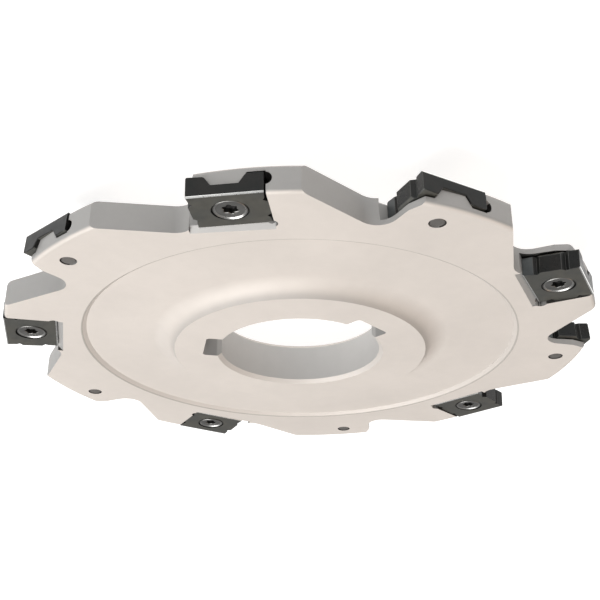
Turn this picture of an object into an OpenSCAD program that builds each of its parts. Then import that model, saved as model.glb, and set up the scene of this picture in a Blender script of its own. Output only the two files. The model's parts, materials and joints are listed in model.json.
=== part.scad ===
// Staggered-tooth indexable slotting cutter for a keyed arbor.
//
// The bore runs along Z and the disc's mid-plane is Z = 0. The first keyway is on +X.
// The cutter turns counter-clockwise seen from +Z. Odd-numbered inserts are on the
// front face (+Z) and even-numbered ones on the back face (-Z), half a pitch apart.

/* [Cutting size] */
// Diameter over the leading corners of the inserts
cut_d = 100; // [90:1:125]
// Width of the slot that the cutter makes
cut_w = 4.6; // [4.5:0.05:5.7]

/* [Disc] */
// Thickness of the disc's rim, face to face
body_t = 4.3; // [3.9:0.1:5.2]
// How far the inserts' cutting corners stand out past the rim
corner_proud = 0.9; // [0.6:0.05:1.2]
// Width of the full-thickness band inside the cutting circle
rim_band = 13.3; // [13:0.1:17]
// Depth of the recessed web below each side face
recess_depth = 0.6; // [0.3:0.05:0.8]
// Width of the sloping step between rim band and web
recess_slope = 0.7; // [0.4:0.1:2]
// Radius that rounds both edges of the rim
rim_round = 0.7; // [0.3:0.05:0.9]

/* [Hub] */
// Outer diameter of the hub's flat faces
hub_d = 42.6; // [38:0.2:50]
// Width over both hub faces
hub_w = 7.5; // [6:0.1:9]
// Radius of the hollow between hub and web
hub_fillet = 4.5; // [3:0.1:6]
// Diameter of the bore
bore_d = 27; // [22:0.5:32]
// Chamfer at both ends of the bore
bore_chamfer = 0.63; // [0.2:0.01:0.8]
// Width of the keyways
key_w = 7; // [5:0.5:8]
// Depth of the keyways below the bore wall
key_depth = 2.8; // [2:0.1:3.6]
// Radius in the corners of the keyways
key_corner_r = 0.6; // [0.3:0.1:1.2]
// Tooth pitches between the two keyways
key_pitches = 3.5; // [2.5, 3.5, 4.5]

/* [Teeth] */
// Angle from the first keyway to the first insert's screw
first_tooth_a = 4.3; // [0:0.1:18]
// Rim land behind each screw, measured square to the screw's radius
land_behind = 10.2; // [9:0.1:12]
// Top of the leading face: its distance ahead of the screw at the rim
lead_top = 4.05; // [3.8:0.05:4.8]
// Middle of the leading face: its distance ahead of the screw
lead_mid = 5.2; // [4.8:0.05:5.4]
// Middle of the leading face: its depth below the cutting circle
lead_mid_depth = 3.5; // [2.5:0.1:5]
// Root of the gullet: its distance ahead of the screw
root_ahead = 5.9; // [5.4:0.1:7]
// Root of the gullet, before rounding: its depth below the cutting circle
root_depth = 9.9; // [8.5:0.1:11]
// Radius in the root of the gullet
root_r = 2.8; // [2:0.1:4]

/* [Inserts] */
// Length of an insert along the cut, over the lands of its ends
insert_l = 10.7; // [10.4:0.1:12]
// Width of an insert from its outer edge to its inner edge
insert_w = 8.5; // [8:0.1:10]
// Thickness of an insert at its two ends
insert_t = 3; // [2.5:0.05:3.2]
// Length of an insert from its middle to each cutting corner
tip_half = 5.15; // [5:0.05:5.4]
// Width of the flat beside each cutting corner, on the ends
corner_land = 1.6; // [1.3:0.1:1.8]
// How far that flat slopes back from the cutting corner
corner_slope = 0.15; // [0.05:0.05:0.25]
// Depth of the chip grooves below the line of the cutting corners
chip_groove = 0.45; // [0.3:0.05:0.6]
// Length of the raised land between the chip grooves of an end
end_land = 3.2; // [2:0.1:4]
// Depth of the saddle cut across the seat side of an insert
saddle_depth = 1.3; // [0.8:0.05:1.4]
// Half width of the saddle at its top
saddle_top = 1.85; // [1.6:0.05:2.2]
// Half width of the saddle at its mouth
saddle_mouth = 2.75; // [2.3:0.05:3.2]
// Radius between the saddle's flanks and the feet
saddle_round = 0.6; // [0.2:0.1:0.8]
// Chamfer under each foot of an insert
foot_chamfer = 0.35; // [0.1:0.05:0.6]
// Clearance angle behind the outer edge
radial_clearance_a = 4.5; // [3:0.1:6]
// Clearance angle behind the side edge
side_clearance_a = 1; // [0.5:0.1:1.5]
// Dish angle, by which the inner edge lies deeper than the outer one
dish_a = 2.6; // [1.5:0.1:3.5]

/* [Seats] */
// Gap between an insert and its pocket on every seating face
seat_gap = 0.03; // [0.02:0.01:0.08]
// Free depth under the feet of an insert
foot_gap = 0.3; // [0.1:0.05:0.4]
// Radius of the relief groove along the foot of the trailing wall
wall_relief_r = 0.95; // [0.7:0.05:1.2]
// Height of the relief groove's axis above the pocket's floor
wall_relief_h = 1.1; // [0.9:0.05:1.3]
// How far the relief groove's axis stands in from the trailing wall
wall_relief_in = 0.12; // [0:0.02:0.3]
// Radius of the relief in the pocket's inner corner
corner_relief_r = 0.9; // [0.6:0.1:1.2]
// How far the corner relief reaches past the two walls
corner_relief_past = 0.45; // [0.1:0.05:0.5]
// Chamfer along the pocket's inner wall
pocket_chamfer = 0.55; // [0.3:0.05:1]
// How far a pocket runs on past the leading end of its insert
pocket_run_out = 1.2; // [0.5:0.1:2]

/* [Clamp screws] */
// Thread diameter
thread_d = 2.5; // [2:0.1:2.8]
// Radial clearance between the plain shank and the holes around it
thread_gap = 0.05; // [0.02:0.01:0.08]
// Diameter of the head
head_d = 4.7; // [4.2:0.1:4.8]
// Height of the head's rim above its cone
head_rim = 0.35; // [0.2:0.05:0.5]
// Angle of the cone under the head
head_cone_a = 120; // [100:1:130]
// Radial gap between the head and the mouth of the countersink
head_gap = 0.22; // [0.1:0.01:0.3]
// Bevel round the top of the head
head_bevel = 0.2; // [0.1:0.05:0.3]
// Size of the six-lobe socket over its lobes
socket_d = 2.3; // [1.8:0.1:2.5]
// Depth of the socket
socket_depth = 0.9; // [0.6:0.1:1]
// How far the tip stays below the far face
tip_below = 0.08; // [0.02:0.02:0.3]
// Radial width of the bevel on the tip
tip_bevel = 0.19; // [0.1:0.01:0.3]
// Radial clearance between the shank and the hole in the insert
insert_hole_gap = 0.2; // [0.1:0.05:0.3]

/* [Hidden] */
TEETH = 10;

pitch_a = 360 / TEETH;
arc_steps = 8;
edge_steps = 4;
round_fn = 96;
small_fn = 48;
lobe_fn = 24;
past = 1;
off_rim = 3;

cut_r = cut_d / 2;
body_r = cut_r - corner_proud;
half_t = body_t / 2;
half_web = half_t - recess_depth;
half_hub = hub_w / 2;
hub_r = hub_d / 2;
bore_r = bore_d / 2;
recess_r = cut_r - rim_band;

// The seat frame has X outward, Y to the leading side and Z out of the side face, with its
// origin on the screw's axis in the middle of the insert's face. It is tilted by the clearance
// and dish angles, and placed so that the leading outer corner of the insert lies on the
// cutting circle and the cutting width. The screws themselves stand square to the disc.
tip_ahead = turned([insert_w / 2, tip_half, 0]);
seat_r = sqrt(cut_r * cut_r - tip_ahead.y * tip_ahead.y) - tip_ahead.x;
seat_z = cut_w / 2 - tip_ahead.z;

thread_r = thread_d / 2;
shank_r = thread_r - thread_gap;
head_r = head_d / 2;
cone_h = (head_r - shank_r) / tan(head_cone_a / 2);
screw_l = seat_z + half_t - tip_below;
socket_r = socket_d / 2;
socket_core_r = 0.8 * socket_r;
lobe_r = 0.23 * socket_r;
mouth_r = head_r + head_gap;
insert_hole_r = shank_r + insert_hole_gap;
countersink_h = (mouth_r - insert_hole_r) / tan(head_cone_a / 2);

// A point of the seat frame after its tilts, before it is carried out to the seat
function turned(p) =
    let (
        a = [p.x, p.y * cos(side_clearance_a) - p.z * sin(side_clearance_a),
             p.y * sin(side_clearance_a) + p.z * cos(side_clearance_a)],
        b = [a.x * cos(dish_a) - a.z * sin(dish_a), a.y, a.x * sin(dish_a) + a.z * cos(dish_a)]
    )
    [b.x * cos(radial_clearance_a) + b.y * sin(radial_clearance_a),
     b.y * cos(radial_clearance_a) - b.x * sin(radial_clearance_a), b.z];

// A point turned about the origin
function spun(p, a) = [p.x * cos(a) - p.y * sin(a), p.x * sin(a) + p.y * cos(a)];

// Points that round the corner p of an outline, between its neighbours a and b
function corner(a, p, b, r) =
    let (
        u = (a - p) / norm(a - p),
        v = (b - p) / norm(b - p),
        half = acos(u * v) / 2,
        c = p + (u + v) / norm(u + v) * r / sin(half),
        s = p + u * r / tan(half) - c,
        e = p + v * r / tan(half) - c,
        from = atan2(s.y, s.x),
        sweep = (atan2(e.y, e.x) - from + 540) % 360 - 180
    )
    [for (i = [0:arc_steps]) c + r * [cos(from + sweep * i / arc_steps), sin(from + sweep * i / arc_steps)]];

// Half section of the blank, above the mid-plane
function half_section() =
    let (
        rise = half_hub - half_web,
        run = sqrt(hub_fillet * hub_fillet - (hub_fillet - rise) * (hub_fillet - rise)),
        steep = atan2(run, hub_fillet - rise),
        c = [hub_r + run, half_web + hub_fillet],
        edge = [body_r - rim_round, half_t - rim_round]
    )
    concat(
        [[bore_r, 0], [bore_r, half_hub - bore_chamfer], [bore_r + bore_chamfer, half_hub]],
        [for (i = [arc_steps:-1:0]) c - hub_fillet * [sin(steep * i / arc_steps), cos(steep * i / arc_steps)]],
        [[recess_r - recess_slope, half_web], [recess_r, half_t]],
        [for (i = [edge_steps:-1:0]) edge + rim_round * [cos(90 * i / edge_steps), sin(90 * i / edge_steps)]],
        [[body_r, 0]]
    );

// Places its children on the screw's axis of tooth k, on the front for even k
module at_screw(k) {
    rotate([0, 0, first_tooth_a + k * pitch_a])
    mirror([0, 0, k % 2])
    translate([seat_r, 0, seat_z])
    children();
}

// Places its children in the tilted seat frame of tooth k
module at_tooth(k) {
    at_screw(k)
    rotate([0, 0, -radial_clearance_a])
    rotate([0, -dish_a, 0])
    rotate([side_clearance_a, 0, 0])
    children();
}

module blank() {
    upper = half_section();
    lower = [for (i = [len(upper) - 2:-1:1]) [upper[i].x, -upper[i].y]];
    rotate_extrude($fn = round_fn) polygon(concat(upper, lower));
}

// The chip space between tooth 0 and the tooth ahead of it
module gullet() {
    mid = [cut_r - lead_mid_depth, lead_mid];
    root = [cut_r - root_depth, root_ahead];
    top = [sqrt(body_r * body_r - lead_top * lead_top), lead_top];
    back = spun([sqrt(body_r * body_r - land_behind * land_behind), -land_behind], pitch_a);
    above_top = top + (top - mid) / norm(top - mid) * off_rim;
    above_back = back + (back - root) / norm(back - root) * off_rim;
    outside = spun([cut_r + 2 * off_rim, 0], pitch_a / 2);
    translate([0, 0, -half_hub])
    linear_extrude(hub_w)
    polygon(concat([above_top, top, mid], corner(mid, root, back, root_r), [back, above_back, outside]));
}

module keyway() {
    deep = bore_r + key_depth;
    side = key_w / 2;
    inner = bore_r / 2;
    translate([0, 0, -half_hub - past])
    linear_extrude(hub_w + 2 * past)
    polygon(concat(
        [[inner, -side]],
        corner([inner, -side], [deep, -side], [deep, side], key_corner_r),
        corner([deep, -side], [deep, side], [inner, side], key_corner_r),
        [[inner, side]]
    ));
}

// Cross-section of the rib that an insert's saddle sits over
module saddle_rib() {
    top = -insert_t + saddle_depth - seat_gap;
    slope = (saddle_mouth - saddle_top) / saddle_depth;
    low = -insert_t - foot_gap - past;
    half_top = saddle_top - seat_gap;
    half_low = half_top + (top - low) * slope;
    polygon([[-half_low, low], [-half_top, top], [half_top, top], [half_low, low]]);
}

// Everything that a pocket takes out of the blank, in the seat frame
module pocket() {
    back = insert_l / 2 + seat_gap;
    inner = insert_w / 2 + seat_gap;
    floor_z = -insert_t - foot_gap;
    reach = insert_w + 2 * corner_proud;
    run = back + insert_l / 2 + pocket_run_out;
    difference() {
        translate([-inner, -back, floor_z]) cube([reach, run, past - floor_z]);
        rotate([90, 0, 90]) translate([0, 0, -insert_w]) linear_extrude(2 * insert_w) saddle_rib();
    }
    translate([-inner, wall_relief_in - back, floor_z + wall_relief_h])
    rotate([0, 90, 0])
    cylinder(r = wall_relief_r, h = reach, $fn = small_fn);
    translate([corner_relief_r - corner_relief_past - inner, corner_relief_r - corner_relief_past - back, floor_z])
    cylinder(r = corner_relief_r, h = past - floor_z, $fn = small_fn);
    translate([-inner, -back, 0])
    rotate([-90, 0, 0])
    linear_extrude(run)
    polygon([[past, pocket_chamfer], [0, pocket_chamfer], [-pocket_chamfer - past, -past], [past, -past]]);
}

// Tapped hole right through the disc, on its screw's axis
module tapped_hole() {
    translate([0, 0, -2 * body_t]) cylinder(r = thread_r, h = 2 * body_t, $fn = small_fn);
}

module cutter_body() {
    color("linen")
    difference() {
        blank();
        for (k = [0:TEETH - 1]) rotate([0, 0, first_tooth_a + k * pitch_a]) gullet();
        for (k = [0:TEETH - 1]) at_tooth(k) pocket();
        for (k = [0:TEETH - 1]) at_screw(k) tapped_hole();
        keyway();
        rotate([0, 0, -key_pitches * pitch_a]) keyway();
    }
}

// Outline of an insert seen on its face, with the chip grooves of both ends
module insert_outline() {
    side = insert_w / 2;
    land = end_land / 2;
    flat_x = side - corner_land;
    quarter = [
        [side, tip_half], [flat_x, tip_half - corner_slope],
        [(flat_x + land) / 2, tip_half - chip_groove], [land, insert_l / 2]
    ];
    top = concat(quarter, [for (i = [3:-1:0]) [-quarter[i].x, quarter[i].y]]);
    polygon(concat(top, [for (p = top) -p]));
}

// Cross-section of an insert across the cut: two feet and the saddle between them
module insert_section() {
    end = insert_l / 2;
    heel = [end - foot_chamfer, -insert_t];
    mouth = [saddle_mouth, -insert_t];
    roof = [saddle_top, saddle_depth - insert_t];
    right = concat([roof], corner(roof, mouth, heel, saddle_round), [heel, [end, foot_chamfer - insert_t], [end, 0]]);
    polygon(concat(right, [for (i = [len(right) - 1:-1:0]) [-right[i].x, right[i].y]]));
}

// Hole and countersink for the clamp screw, on its axis
module screw_seat() {
    translate([0, 0, -head_rim]) cylinder(r = mouth_r, h = head_rim + past, $fn = small_fn);
    translate([0, 0, -head_rim - countersink_h])
    cylinder(r1 = insert_hole_r, r2 = mouth_r, h = countersink_h, $fn = small_fn);
    translate([0, 0, -insert_t - past]) cylinder(r = insert_hole_r, h = insert_t, $fn = small_fn);
}

module cutting_insert(k) {
    color("dimgray")
    difference() {
        at_tooth(k)
        intersection() {
            translate([0, 0, -insert_t]) linear_extrude(insert_t) insert_outline();
            rotate([90, 0, 90])
            translate([0, 0, -insert_w / 2])
            linear_extrude(insert_w)
            insert_section();
        }
        at_screw(k) screw_seat();
    }
}

module clamp_screw(k) {
    color("silver")
    at_screw(k)
    difference() {
        rotate_extrude($fn = small_fn)
        polygon([
            [0, 0], [head_r - head_bevel, 0], [head_r, -head_bevel], [head_r, -head_rim],
            [shank_r, -head_rim - cone_h], [shank_r, -screw_l + tip_bevel],
            [shank_r - tip_bevel, -screw_l], [0, -screw_l]
        ]);
        translate([0, 0, -socket_depth]) six_lobe(socket_depth + past);
    }
}

// Six-lobe socket: a core with six round lobes
module six_lobe(h) {
    cylinder(r = socket_core_r, h = h, $fn = small_fn);
    for (i = [0:5])
        rotate([0, 0, 60 * i]) translate([socket_r - lobe_r, 0, 0]) cylinder(r = lobe_r, h = h, $fn = lobe_fn);
}

cutter_body();
cutting_insert(0);  // insert_01
cutting_insert(1);  // insert_02
cutting_insert(2);  // insert_03
cutting_insert(3);  // insert_04
cutting_insert(4);  // insert_05
cutting_insert(5);  // insert_06
cutting_insert(6);  // insert_07
cutting_insert(7);  // insert_08
cutting_insert(8);  // insert_09
cutting_insert(9);  // insert_10
clamp_screw(0);  // screw_01
clamp_screw(1);  // screw_02
clamp_screw(2);  // screw_03
clamp_screw(3);  // screw_04
clamp_screw(4);  // screw_05
clamp_screw(5);  // screw_06
clamp_screw(6);  // screw_07
clamp_screw(7);  // screw_08
clamp_screw(8);  // screw_09
clamp_screw(9);  // screw_10
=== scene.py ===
import json
from math import atan2, cos, floor, pi, radians, sin, tan

import bmesh
import bpy
from mathutils import Matrix, Vector


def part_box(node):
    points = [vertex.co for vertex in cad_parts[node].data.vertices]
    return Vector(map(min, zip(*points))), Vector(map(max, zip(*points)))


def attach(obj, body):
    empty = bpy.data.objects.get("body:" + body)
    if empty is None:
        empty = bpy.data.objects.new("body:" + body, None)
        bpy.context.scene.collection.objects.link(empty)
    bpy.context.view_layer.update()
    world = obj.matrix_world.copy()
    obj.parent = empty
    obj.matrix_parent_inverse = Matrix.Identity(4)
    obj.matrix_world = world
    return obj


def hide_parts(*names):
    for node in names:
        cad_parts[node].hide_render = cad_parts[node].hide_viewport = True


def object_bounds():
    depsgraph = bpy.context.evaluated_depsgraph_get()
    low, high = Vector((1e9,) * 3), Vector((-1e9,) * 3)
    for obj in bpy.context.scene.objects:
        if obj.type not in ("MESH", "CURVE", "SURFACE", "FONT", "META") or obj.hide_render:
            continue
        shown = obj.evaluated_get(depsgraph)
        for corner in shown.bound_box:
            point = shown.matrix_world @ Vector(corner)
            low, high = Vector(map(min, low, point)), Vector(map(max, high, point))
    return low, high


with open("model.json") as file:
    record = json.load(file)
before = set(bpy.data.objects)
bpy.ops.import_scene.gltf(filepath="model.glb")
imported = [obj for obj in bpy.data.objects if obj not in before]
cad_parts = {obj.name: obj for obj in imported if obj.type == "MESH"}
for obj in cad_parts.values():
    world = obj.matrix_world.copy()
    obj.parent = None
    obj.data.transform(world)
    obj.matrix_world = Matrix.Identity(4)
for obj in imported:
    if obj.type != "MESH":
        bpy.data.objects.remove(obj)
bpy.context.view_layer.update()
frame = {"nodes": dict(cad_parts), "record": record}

MM = 0.001
TEETH = 10
JOINTS = {joint["name"]: joint for joint in frame["record"]["behaviour"]["joints"]}

# ---------------------------------------------------------------- camera

# The camera looks down on the front face from beside the rim, and is rolled upside down.
CAMERA_AZIMUTH = 10.5
CAMERA_ELEVATION = 23.469
CAMERA_DISTANCE = 173.06 * MM
CAMERA_PITCH = -2.555
CAMERA_ROLL = 179.95
CAMERA_LENS = 60.55
CAMERA_AIM = Vector((0, 0, 2.15 * MM))


def direction(azimuth, elevation):
    """Unit vector towards a place at that azimuth and elevation, in degrees."""
    a, e = radians(azimuth), radians(elevation)
    return Vector((sin(a) * cos(e), -cos(a) * cos(e), sin(e)))


def make_camera():
    out = direction(CAMERA_AZIMUTH, CAMERA_ELEVATION)
    right = (-out).cross(Vector((0, 0, 1))).normalized()
    axes = Matrix((right, right.cross(-out), -out))
    roll = Matrix.Rotation(radians(CAMERA_ROLL), 3, "Z")
    pitch = Matrix.Rotation(radians(CAMERA_PITCH), 3, "X")
    right, up, forward = roll @ pitch @ axes
    camera = bpy.data.objects.new("camera", bpy.data.cameras.new("camera"))
    bpy.context.scene.collection.objects.link(camera)
    place = Matrix.Translation(CAMERA_AIM + out * CAMERA_DISTANCE)
    camera.matrix_world = place @ Matrix((right, up, -forward)).transposed().to_4x4()
    camera.data.lens = CAMERA_LENS
    camera.data.clip_start = 10 * MM
    camera.data.clip_end = 10
    bpy.context.scene.camera = camera


make_camera()

# ---------------------------------------------------------------- materials


def new_material(name):
    material = bpy.data.materials.new(name)
    material.use_nodes = True
    material.node_tree.nodes.clear()
    return material, material.node_tree


def add(tree, kind, settings=None, inputs=None, out=0):
    """Adds a shader node and returns one of its outputs. An input is a value or another output."""
    node = tree.nodes.new("ShaderNode" + kind)
    for key, value in (settings or {}).items():
        setattr(node, key, value)
    for key, value in (inputs or {}).items():
        if isinstance(value, bpy.types.NodeSocket):
            tree.links.new(value, node.inputs[key])
        else:
            node.inputs[key].default_value = value
    return node.outputs[out] if len(node.outputs) else None


def maths(tree, operation, *values):
    return add(tree, "Math", {"operation": operation}, dict(enumerate(values)))


def spread(tree, value, low, high, to_low, to_high, smooth=False):
    kind = "SMOOTHSTEP" if smooth else "LINEAR"
    inputs = {"Value": value, "From Min": low, "From Max": high, "To Min": to_low, "To Max": to_high}
    return add(tree, "MapRange", {"interpolation_type": kind}, inputs)


def mix(tree, factor, a, b):
    return add(tree, "Mix", {"data_type": "VECTOR"}, {"Factor": factor, 4: a, 5: b}, out=1)


def scaled(tree, colour, factor):
    return add(tree, "VectorMath", {"operation": "SCALE"}, {0: colour, "Scale": factor})


def noise(tree, vector, scale, detail, rough=0.5):
    """Noise between 0 and 1 with that many grains to a metre."""
    inputs = {"Vector": vector, "Scale": scale, "Detail": detail, "Roughness": rough}
    return add(tree, "TexNoise", None, inputs)


def varied(tree, pattern, low, high):
    """A value that goes from low to high over the usual range of a noise."""
    return spread(tree, pattern, 0.3, 0.7, low, high)


def finish_material(tree, colour, roughness, height, relief, strength, fixed):
    """Joins colour, roughness and height into one Principled shader."""
    bump = add(tree, "Bump", None, {"Height": height, "Distance": relief, "Strength": strength})
    inputs = {"Base Color": colour, "Roughness": roughness, "Normal": bump}
    inputs.update(fixed)
    shader = add(tree, "BsdfPrincipled", None, inputs)
    add(tree, "OutputMaterial", None, {"Surface": shader})


def polar(tree):
    """The place on the object as its position, radius and height, in metres."""
    place = add(tree, "TexCoord", out=3)
    parts = tree.nodes.new("ShaderNodeSeparateXYZ")
    tree.links.new(place, parts.inputs[0])
    x, y, z = parts.outputs
    flat = add(tree, "CombineXYZ", None, {"X": x, "Y": y})
    radius = add(tree, "VectorMath", {"operation": "LENGTH"}, {0: flat}, out=1)
    return place, radius, z


# Painted light: the bore wall, inside this radius, is painted brighter than the other sides.
BORE_LIT_R = 14.2 * MM
BORE_BLEND = 0.2 * MM
BORE_BRIGHTER = 1.4
RELIEF = 0.004 * MM
SCRATCH_RELIEF = 0.003 * MM


def satin_nickel(name, face, side, rough):
    """Satin plating over turned and milled steel: faint rings on the faces, a darker, greyer tone on the
    sides, and painted light that brightens the bore wall.
    """
    material, tree = new_material(name)
    place, radius, height = polar(tree)
    along_bore = maths(tree, "MULTIPLY", height, 0.2)
    ring_place = add(tree, "CombineXYZ", None, {"X": radius, "Y": along_bore})
    rings = noise(tree, ring_place, scale=5200, detail=3)
    grain = noise(tree, place, scale=9000, detail=2)
    clouds = noise(tree, place, scale=55, detail=3)
    stains = noise(tree, place, scale=420, detail=4, rough=0.6)
    normal = tree.nodes.new("ShaderNodeSeparateXYZ")
    tree.links.new(add(tree, "NewGeometry", out=1), normal.inputs[0])
    upright = maths(tree, "ABSOLUTE", normal.outputs[2])
    sides = spread(tree, upright, 0.25, 0.85, 1, 0, smooth=True)
    shade = varied(tree, clouds, 0.965, 1.02)
    shade = maths(tree, "MULTIPLY", shade, spread(tree, stains, 0.35, 0.65, 0.985, 1.01))
    # Painted light: the side tone is brightened on the bore wall.
    painted_bore_light = spread(tree, radius, BORE_LIT_R, BORE_LIT_R + BORE_BLEND, BORE_BRIGHTER, 1)
    tone = mix(tree, sides, face, scaled(tree, side, painted_bore_light))
    colour = scaled(tree, tone, shade)
    roughness = maths(tree, "ADD", varied(tree, rings, rough - 0.03, rough + 0.03),
                      varied(tree, clouds, -0.04, 0.04))
    bumps = maths(tree, "ADD", maths(tree, "MULTIPLY", rings, 0.6), maths(tree, "MULTIPLY", grain, 0.4))
    fixed = {"Metallic": 0.15, "Specular IOR Level": 0.4}
    finish_material(tree, colour, roughness, bumps, RELIEF, 0.5, fixed)
    return material


def coated_carbide(name, tone, dusty, metallic, rough, sheen=0.5):
    """Dark coating over ground carbide: fine pressed grain with a faint olive and blue drift."""
    material, tree = new_material(name)
    place = add(tree, "TexCoord", out=3)
    grain = noise(tree, place, scale=8000, detail=3, rough=0.6)
    drift = noise(tree, place, scale=260, detail=2)
    smears = noise(tree, place, scale=900, detail=4, rough=0.65)
    colour = mix(tree, spread(tree, drift, 0.35, 0.65, 0, 1, smooth=True), tone, dusty)
    colour = scaled(tree, colour, varied(tree, smears, 0.85, 1.15))
    roughness = varied(tree, smears, rough - 0.07, rough + 0.07)
    fixed = {"Metallic": metallic, "Specular IOR Level": sheen}
    finish_material(tree, colour, roughness, grain, RELIEF, 0.5, fixed)
    return material


def bright_steel(name, tone, rough, metallic=1.0):
    """Bare steel with fine scratches."""
    material, tree = new_material(name)
    place = add(tree, "TexCoord", out=3)
    scratches = noise(tree, place, scale=5200, detail=3, rough=0.65)
    drift = noise(tree, place, scale=700, detail=3)
    colour = scaled(tree, tone, varied(tree, drift, 0.86, 1.1))
    roughness = varied(tree, scratches, rough - 0.06, rough + 0.06)
    finish_material(tree, colour, roughness, scratches, SCRATCH_RELIEF, 0.4, {"Metallic": metallic})
    return material


nickel = satin_nickel("satin_nickel", (0.60, 0.552, 0.508), (0.325, 0.318, 0.308), 0.58)
nickel_edge = satin_nickel("worn_nickel_edge", (0.58, 0.545, 0.505), (0.38, 0.368, 0.352), 0.46)
# Painted shade: the pocket walls get a dark steel tone for the shade deep in the pocket.
pocket_painted_shade = bright_steel("pocket_painted_shade", (0.105, 0.10, 0.094), 0.45, 0.7)
pocket_chamfer = satin_nickel("milled_chamfer", (0.40, 0.39, 0.375), (0.36, 0.355, 0.345), 0.42)
# Painted shade: a darker tone on the step's rounded edge stands in for the shade along it.
step_painted_shade = satin_nickel("step_painted_shade", (0.42, 0.39, 0.355), (0.30, 0.28, 0.26), 0.6)
carbide_face = coated_carbide("ground_carbide_face", (0.082, 0.079, 0.067), (0.069, 0.069, 0.062), 0.35, 0.42)
carbide_flank = coated_carbide("coated_carbide_flank", (0.014, 0.0135, 0.0125), (0.010, 0.0115, 0.011),
                               0.15, 0.36, sheen=0.22)
carbide_rake = coated_carbide("coated_carbide_rake", (0.010, 0.0092, 0.0080), (0.008, 0.009, 0.009),
                              0.1, 0.30, sheen=0.2)
# Painted reflection: the rake's corner lands get a lighter, bluish tone for the reflection they pick up.
carbide_land_reflection = coated_carbide("carbide_land_painted_reflection", (0.056, 0.062, 0.063), (0.048, 0.054, 0.056), 0.35, 0.34)
# Painted shadow along the saddle's bevels.
carbide_shadow = coated_carbide("saddle_painted_shadow", (0.008, 0.008, 0.007), (0.007, 0.007, 0.007), 0.2, 0.5)
carbide_edge = coated_carbide("rubbed_carbide_edge", (0.060, 0.060, 0.056), (0.052, 0.054, 0.053), 0.5, 0.36)
# Painted highlight: the honed land is near white, honed carbide painted as bright as the line of light it
# catches.
honed_edge_highlight = bright_steel("honed_edge_painted_highlight", (0.86, 0.86, 0.84), 0.30)
head_steel = bright_steel("screw_steel", (0.25, 0.245, 0.235), 0.38)
head_rim_steel = bright_steel("screw_rim", (0.46, 0.455, 0.44), 0.30)
# Painted shade: the socket recess is near black for the shade inside it.
socket_shade = bright_steel("screw_socket_painted_shade", (0.030, 0.029, 0.028), 0.45, 0.6)
thread_steel = bright_steel("screw_thread", (0.16, 0.15, 0.14), 0.42, 0.9)
tip_steel = bright_steel("screw_tip", (0.17, 0.16, 0.15), 0.60, 0.7)

# ---------------------------------------------------------------- mesh helpers

MERGE = 0.0004 * MM
COPLANAR = radians(0.4)
SHARP = radians(24)
SMOOTH = radians(50)
EDGE_PROFILE = 0.6


def link_piece(name, mesh, body, slot, *replaced):
    """Puts a visible piece on its body in place of CAD nodes, with flat faces that shade flat."""
    piece = bpy.data.objects.new(name, mesh)
    bpy.context.scene.collection.objects.link(piece)
    evened = piece.modifiers.new("even_normals", "WEIGHTED_NORMAL")
    evened.keep_sharp = True
    evened.weight = 100
    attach(piece, body)
    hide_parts(*replaced)
    return piece


def clean_copy(node):
    """A bmesh of a CAD node whose flat faces are single polygons."""
    bm = bmesh.new()
    bm.from_mesh(frame["nodes"][node].data)
    bmesh.ops.remove_doubles(bm, verts=bm.verts, dist=MERGE)
    bmesh.ops.dissolve_limit(bm, angle_limit=COPLANAR, verts=bm.verts, edges=bm.edges)
    return bm


def sharp_edges(bm, keep):
    """The sharp edges of a solid for which keep(edge) is true."""
    return [edge for edge in bm.edges
            if edge.is_manifold and edge.calc_face_angle() > SHARP and keep(edge)]


def break_edges(bm, edges, width, segments, material):
    """Bevels edges and gives the bevels a finish of their own."""
    bmesh.ops.bevel(bm, geom=edges, offset=width, offset_type="OFFSET", segments=segments,
                    profile=EDGE_PROFILE, affect="EDGES", clamp_overlap=True, material=material)


def unfinished(edge):
    """Whether neither face beside the edge has been given a finish yet."""
    return not any(face.material_index for face in edge.link_faces)


def to_mesh(name, bm, materials, smooth_angle=SMOOTH):
    """Turns a bmesh into a mesh, shaded smooth except over edges sharper than smooth_angle."""
    mesh = bpy.data.meshes.new(name)
    bmesh.ops.recalc_face_normals(bm, faces=bm.faces)
    for face in bm.faces:
        face.smooth = True
    for edge in bm.edges:
        edge.smooth = edge.is_manifold and edge.calc_face_angle() < smooth_angle
    bm.to_mesh(mesh)
    bm.free()
    for material in materials:
        mesh.materials.append(material)
    return mesh


# ---------------------------------------------------------------- seats

# Tilts of the insert seats in degrees, as in the CAD
RADIAL_CLEARANCE = -4.5
DISH = -2.6
SIDE_CLEARANCE = 1


def screw_axis(k):
    """Where the screw of tooth k stands, turned so that X points outward, and the side it faces."""
    joint = JOINTS[f"screw_{k + 1:02d}_turn"]
    x, y, _ = joint["pos_m"]
    place = Matrix.Translation(joint["pos_m"]) @ Matrix.Rotation(atan2(y, x), 4, "Z")
    return place, joint["axis"][2]


def screw_matrix(k):
    """Frame of the screw of tooth k, Z out of its side face: a rotation, so its thread stays right-hand."""
    place, side = screw_axis(k)
    return place @ Matrix.Rotation(pi, 4, "X") if side < 0 else place


def seat_matrix(k):
    """The tilted seat frame of tooth k, mirrored on the back, so that Y is always its leading side."""
    place, side = screw_axis(k)
    tilt = (Matrix.Rotation(radians(RADIAL_CLEARANCE), 4, "Z") @ Matrix.Rotation(radians(DISH), 4, "Y")
            @ Matrix.Rotation(radians(SIDE_CLEARANCE), 4, "X"))
    return place @ Matrix.Diagonal((1, 1, side, 1)) @ tilt


# ---------------------------------------------------------------- cutter body

BODY_EDGE = 0.10 * MM
STEP_EDGE = 0.16 * MM
STEP_R = 36.7 * MM
STEP_BAND = 0.2 * MM

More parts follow.
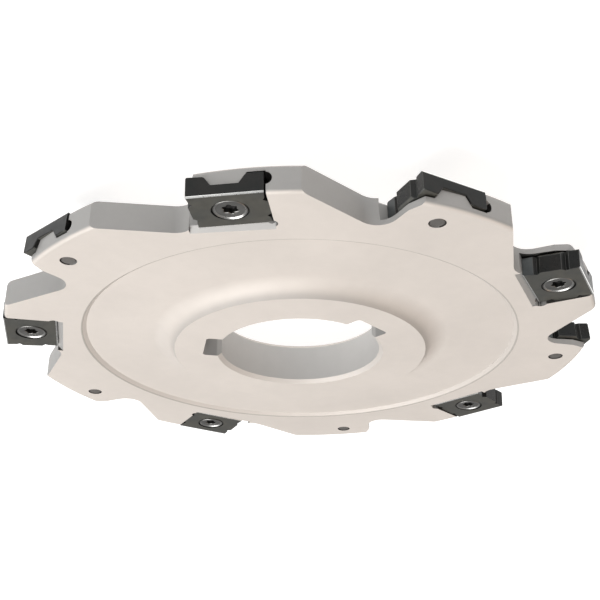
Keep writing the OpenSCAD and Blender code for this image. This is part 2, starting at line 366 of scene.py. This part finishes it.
# Boxes in a seat frame that hold its pocket's walls, which are painted dark as shade, and the chamfer along
# its inner wall
POCKET_LOW = Vector((-5.2, -7.2, -3.9)) * MM
POCKET_HIGH = Vector((6.0, 6.6, -0.3)) * MM
CHAMFER_LOW = Vector((-6.6, -6.2, -0.8)) * MM
CHAMFER_HIGH = Vector((-4.1, 7.4, 1.2)) * MM
FACING = 0.7
SLANTED = 0.5
FACE, EDGE, STEP, POCKET, CHAMFER = range(5)


def inside(place, low, high):
    return all(a < value < b for a, value, b in zip(low, place, high))


def pocket_finish(place, normal):
    """The finish of a face of the disc in a seat frame, painted shade for the pocket's walls, or nothing
    outside that seat's pocket.
    """
    if inside(place, CHAMFER_LOW, CHAMFER_HIGH) and normal.x > SLANTED and normal.z > SLANTED:
        return CHAMFER
    outer_end = normal.x > FACING or (normal.y > FACING and place.y > 0) or normal.z < -FACING
    if inside(place, POCKET_LOW, POCKET_HIGH) and not outer_end:
        return POCKET
    return None


def make_body():
    bm = clean_copy("cutter_body")

    def on_step(edge):
        return all(abs(vert.co.xy.length - STEP_R) < STEP_BAND for vert in edge.verts)

    # The step's rounded edge takes the painted shade.
    break_edges(bm, sharp_edges(bm, on_step), STEP_EDGE, 2, STEP)
    break_edges(bm, sharp_edges(bm, unfinished), BODY_EDGE, 2, EDGE)
    seats = [seat_matrix(k).inverted() for k in range(TEETH)]
    for face in bm.faces:
        middle = face.calc_center_median()
        for seat in seats:
            finish = pocket_finish(seat @ middle, seat.to_3x3() @ face.normal)
            if finish == POCKET or (finish == CHAMFER and face.material_index == FACE):
                face.material_index = finish
    finishes = [nickel, nickel_edge, step_painted_shade, pocket_painted_shade, pocket_chamfer]
    mesh = to_mesh("cutter_disc", bm, finishes)
    link_piece("cutter_disc", mesh, "cutter_body", "nickel_plated_steel", "cutter_body")


# ---------------------------------------------------------------- inserts

EDGE_LAND = 0.22 * MM
INSERT_EDGE = 0.06 * MM
SADDLE_EDGE = 0.13 * MM
FACE_SKIN = 0.05 * MM
FLANK, GROUND, RAKE, LAND, HONED_HIGHLIGHT, RUBBED, SHADED = range(7)

# Places in a seat frame: beyond the screw's hole, the outer end of the saddle, the inner corner lands
HOLE_REACH = 3 * MM
SADDLE_FROM_X = 4 * MM
SADDLE_HALF_Y = 3.1 * MM
SADDLE_TOP_Z = -1 * MM
CORNER_LAND_X = -2.65 * MM


def make_insert(k):
    name = f"insert_{k + 1:02d}"
    bm = clean_copy(name)
    to_seat = seat_matrix(k).inverted()

    def on_face_outline(edge):
        ends = [to_seat @ vert.co for vert in edge.verts]
        return all(abs(end.z) < FACE_SKIN and end.xy.length > HOLE_REACH for end in ends)

    def along_cut(edge):
        a, b = [to_seat @ vert.co for vert in edge.verts]
        return on_face_outline(edge) and abs(a.x - b.x) < FACE_SKIN

    def on_saddle(edge):
        ends = [to_seat @ vert.co for vert in edge.verts]
        return unfinished(edge) and all(end.x > SADDLE_FROM_X and abs(end.y) < SADDLE_HALF_Y
                                        and end.z < SADDLE_TOP_Z for end in ends)

    # The honed land along the cutting edges: honed carbide with a painted highlight.
    break_edges(bm, sharp_edges(bm, along_cut), EDGE_LAND, 2, HONED_HIGHLIGHT)
    # Painted shadow: the saddle's bevels are near black for the shade in the gap against the pocket.
    break_edges(bm, sharp_edges(bm, on_saddle), SADDLE_EDGE, 1, SHADED)
    break_edges(bm, sharp_edges(bm, unfinished), INSERT_EDGE, 2, RUBBED)
    for face in bm.faces:
        if face.material_index == FLANK:
            normal = to_seat.to_3x3() @ face.normal
            if abs(normal.z) > FACING:
                face.material_index = GROUND
            elif abs(normal.y) > FACING:
                # Painted reflection: rake faces on the inner corner lands take the lighter, bluish tone.
                on_land = (to_seat @ face.calc_center_median()).x < CORNER_LAND_X
                face.material_index = LAND if on_land else RAKE
    finishes = [carbide_flank, carbide_face, carbide_rake, carbide_land_reflection, honed_edge_highlight, carbide_edge, carbide_shadow]
    mesh = to_mesh(name, bm, finishes)
    link_piece(f"carbide_{name}", mesh, name, "coated_carbide", name)


# ---------------------------------------------------------------- clamp screws

SCREW_SIDES = 72
SCREW_SMOOTH = radians(40)
HEAD_R = 2.35 * MM
HEAD_RIM = 0.35 * MM
HEAD_ROUND = 0.06 * MM
HEAD_FLAT_R = 1.4 * MM
DISH_DEPTH = 0.20 * MM
DISH_FOOT_R = 2.06 * MM
DISH_FOOT_ROUND = 0.05 * MM
DISH_TOP_R = 2.22 * MM
DISH_TOP_ROUND = 0.04 * MM
SHANK_R = 1.2 * MM
ROOT_R = 0.97 * MM
HEAD_CONE = radians(120)
CONE_H = (HEAD_R - SHANK_R) / tan(HEAD_CONE / 2)
NECK_ROUND = 0.12 * MM
NECK_RISE = 0.07 * MM
SOCKET_R = 1.15 * MM
SOCKET_WAIST = 0.86 * MM
SOCKET_DEPTH = 0.9 * MM
SOCKET_LIP = 0.07 * MM
SOCKET_TAPER = 0.03 * MM
DRILL_POINT_R = 0.25 * MM
DRILL_POINT_H = 0.12 * MM
PITCH = 0.45 * MM
FLANK_STEEPNESS = 2.2
ROOT_FLAT = 0.05
RUN_OUT = 0.8 * PITCH
THREAD_START = 0.1 * MM
TURN_STEPS = 10
TIP_BEVEL = 0.19 * MM
HEAD, RIM, SOCKET, THREAD, TIP = range(5)


def socket_radius(angle, grow):
    """Rounded six-lobe outline of the socket."""
    wave = 0.5 + 0.5 * cos(6 * angle)
    return SOCKET_WAIST + (SOCKET_R - SOCKET_WAIST) * wave ** 0.8 + grow


def thread_radius(angle, depth, length):
    """Right-hand thread that fades in under the head and out at the tip."""
    phase = (depth / PITCH - angle / (2 * pi)) % 1
    ridge = min(1.0, max(0.0, FLANK_STEEPNESS * (0.5 - abs(phase - 0.5)) - ROOT_FLAT))
    fade = min(1.0, depth / PITCH, (length - depth) / RUN_OUT)
    return SHANK_R - (SHANK_R - ROOT_R) * (1 - ridge) * max(0.0, fade)


def screw_rings(length):
    """The screw's surface as rings (radius function, height, finish), from socket to tip."""
    def even(radius):
        return lambda angle: radius

    def lobed(grow):
        return lambda angle: socket_radius(angle, grow)

    flat = -DISH_DEPTH
    cone_foot = -HEAD_RIM - CONE_H
    rings = [
        (even(DRILL_POINT_R), -SOCKET_DEPTH - DRILL_POINT_H, SOCKET),
        (lobed(-SOCKET_TAPER), -SOCKET_DEPTH, SOCKET),
        (lobed(0), -0.5 * SOCKET_DEPTH, SOCKET),
        (lobed(0), flat - SOCKET_LIP, SOCKET),
        (lobed(0.4 * SOCKET_LIP), flat - 0.35 * SOCKET_LIP, HEAD),
        (lobed(SOCKET_LIP), flat, HEAD),
        (even(HEAD_FLAT_R), flat, HEAD),
        (even(DISH_FOOT_R - DISH_FOOT_ROUND), flat, HEAD),
        (even(DISH_FOOT_R), flat + 0.2 * DISH_FOOT_ROUND, RIM),
        (even(DISH_TOP_R), -0.75 * DISH_TOP_ROUND, RIM),
        (even(DISH_TOP_R + DISH_TOP_ROUND), 0, HEAD),
        (even(HEAD_R - HEAD_ROUND), 0, HEAD),
        (even(HEAD_R), -HEAD_ROUND, HEAD),
        (even(HEAD_R), -HEAD_RIM, HEAD),
        (even(SHANK_R + NECK_ROUND), cone_foot + NECK_RISE, HEAD),
        (even(SHANK_R), cone_foot, THREAD),
    ]
    start = THREAD_START - cone_foot
    end = length - TIP_BEVEL
    steps = floor((end - start) / PITCH * TURN_STEPS)
    for i in range(steps + 1):
        depth = (end - start) * i / steps
        rings.append((lambda a, d=depth: thread_radius(a, d, end - start), -start - depth, THREAD))
    rings.append((even(SHANK_R - TIP_BEVEL), -length, THREAD))
    rings.append((even(0.6 * SHANK_R), -length, TIP))
    rings.append((even(0.2 * SHANK_R), -length, TIP))
    return rings


def make_screw(k):
    name = f"screw_{k + 1:02d}"
    low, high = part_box(name)
    rings = screw_rings(high[2] - low[2])
    angles = [2 * pi * i / SCREW_SIDES for i in range(SCREW_SIDES)]
    bm = bmesh.new()
    loops = [[bm.verts.new((radius(a) * cos(a), radius(a) * sin(a), height)) for a in angles]
             for radius, height, _ in rings]
    for inner, outer, (_, _, finish) in zip(loops, loops[1:], rings[1:]):
        for i in range(SCREW_SIDES):
            j = (i + 1) % SCREW_SIDES
            bm.faces.new((inner[i], inner[j], outer[j], outer[i])).material_index = finish
    bm.faces.new(loops[0]).material_index = SOCKET
    bm.faces.new(loops[-1]).material_index = TIP
    bm.transform(screw_matrix(k))
    finishes = [head_steel, head_rim_steel, socket_shade, thread_steel, tip_steel]
    mesh = to_mesh(name, bm, finishes, SCREW_SMOOTH)
    link_piece(f"threaded_{name}", mesh, name, "screw_steel", name)


make_body()
for tooth in range(TEETH):
    make_insert(tooth)
    make_screw(tooth)

# ---------------------------------------------------------------- floor and light

FLOOR_GAP = 5 * MM
FLOOR_REACH = 8.0
FLOOR_GREY = (0.5, 0.5, 0.5, 1)
WHITE = (1, 1, 1, 1)
BACKDROP_WHITE = 1.2


def make_floor():
    """A white table below the lifted inserts, one large triangle, clear when seen from below."""
    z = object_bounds()[0][2] - FLOOR_GAP
    mesh = bpy.data.meshes.new("floor")
    corners = [(FLOOR_REACH * sin(a), FLOOR_REACH * cos(a), z) for a in (0, 4 * pi / 3, 2 * pi / 3)]
    mesh.from_pydata(corners, [], [(0, 1, 2)])
    plane = bpy.data.objects.new("floor", mesh)
    bpy.context.scene.collection.objects.link(plane)
    material, tree = new_material("pale_floor")
    inputs = {"Base Color": FLOOR_GREY, "Roughness": 0.9, "Emission Color": WHITE, "Emission Strength": 0.74}
    shader = add(tree, "BsdfPrincipled", None, inputs)
    clear = add(tree, "BsdfTransparent")
    below = add(tree, "NewGeometry", out=6)
    either = add(tree, "MixShader", None, {0: below, 1: shader, 2: clear})
    add(tree, "OutputMaterial", None, {"Surface": either})
    mesh.materials.append(material)


def hang_lamp(name, light, azimuth, elevation, distance=1.0):
    """Hangs a lamp at that distance from the origin, in metres, shining at it."""
    lamp = bpy.data.objects.new(name, light)
    lamp.location = direction(azimuth, elevation) * distance
    lamp.rotation_euler = lamp.location.to_track_quat("Z", "Y").to_euler()
    bpy.context.scene.collection.objects.link(lamp)


def area_light(name, azimuth, elevation, distance, size, power, colour=(1, 1, 1)):
    light = bpy.data.lights.new(name, "AREA")
    light.shape = "DISK"
    light.size = size
    light.energy = power
    light.color = colour
    hang_lamp(name, light, azimuth, elevation, distance)


def make_world(strength):
    """Soft light from all round, with a white backdrop behind the floor."""
    world = bpy.data.worlds.new("studio")
    bpy.context.scene.world = world
    world.use_nodes = True
    tree = world.node_tree
    seen_directly = add(tree, "LightPath")
    background = tree.nodes["Background"]
    background.inputs["Color"].default_value = WHITE
    tree.links.new(spread(tree, seen_directly, 0, 1, strength, BACKDROP_WHITE), background.inputs["Strength"])


def overhead_light(azimuth, elevation, softness, strength):
    light = bpy.data.lights.new("overhead", "SUN")
    light.energy = strength
    light.angle = radians(softness)
    hang_lamp("overhead", light, azimuth, elevation)


make_floor()
overhead_light(azimuth=100, elevation=68, softness=50, strength=1.75)
area_light("near_side", azimuth=80, elevation=58, distance=0.34, size=0.25, power=0.60)
area_light("camera_side", azimuth=20, elevation=45, distance=0.6, size=0.4, power=0.4)
area_light("warm_side", azimuth=290, elevation=30, distance=0.6, size=0.4, power=0.5, colour=(1, 0.70, 0.46))
make_world(strength=0.32)
bpy.context.scene.view_settings.view_transform = "Standard"
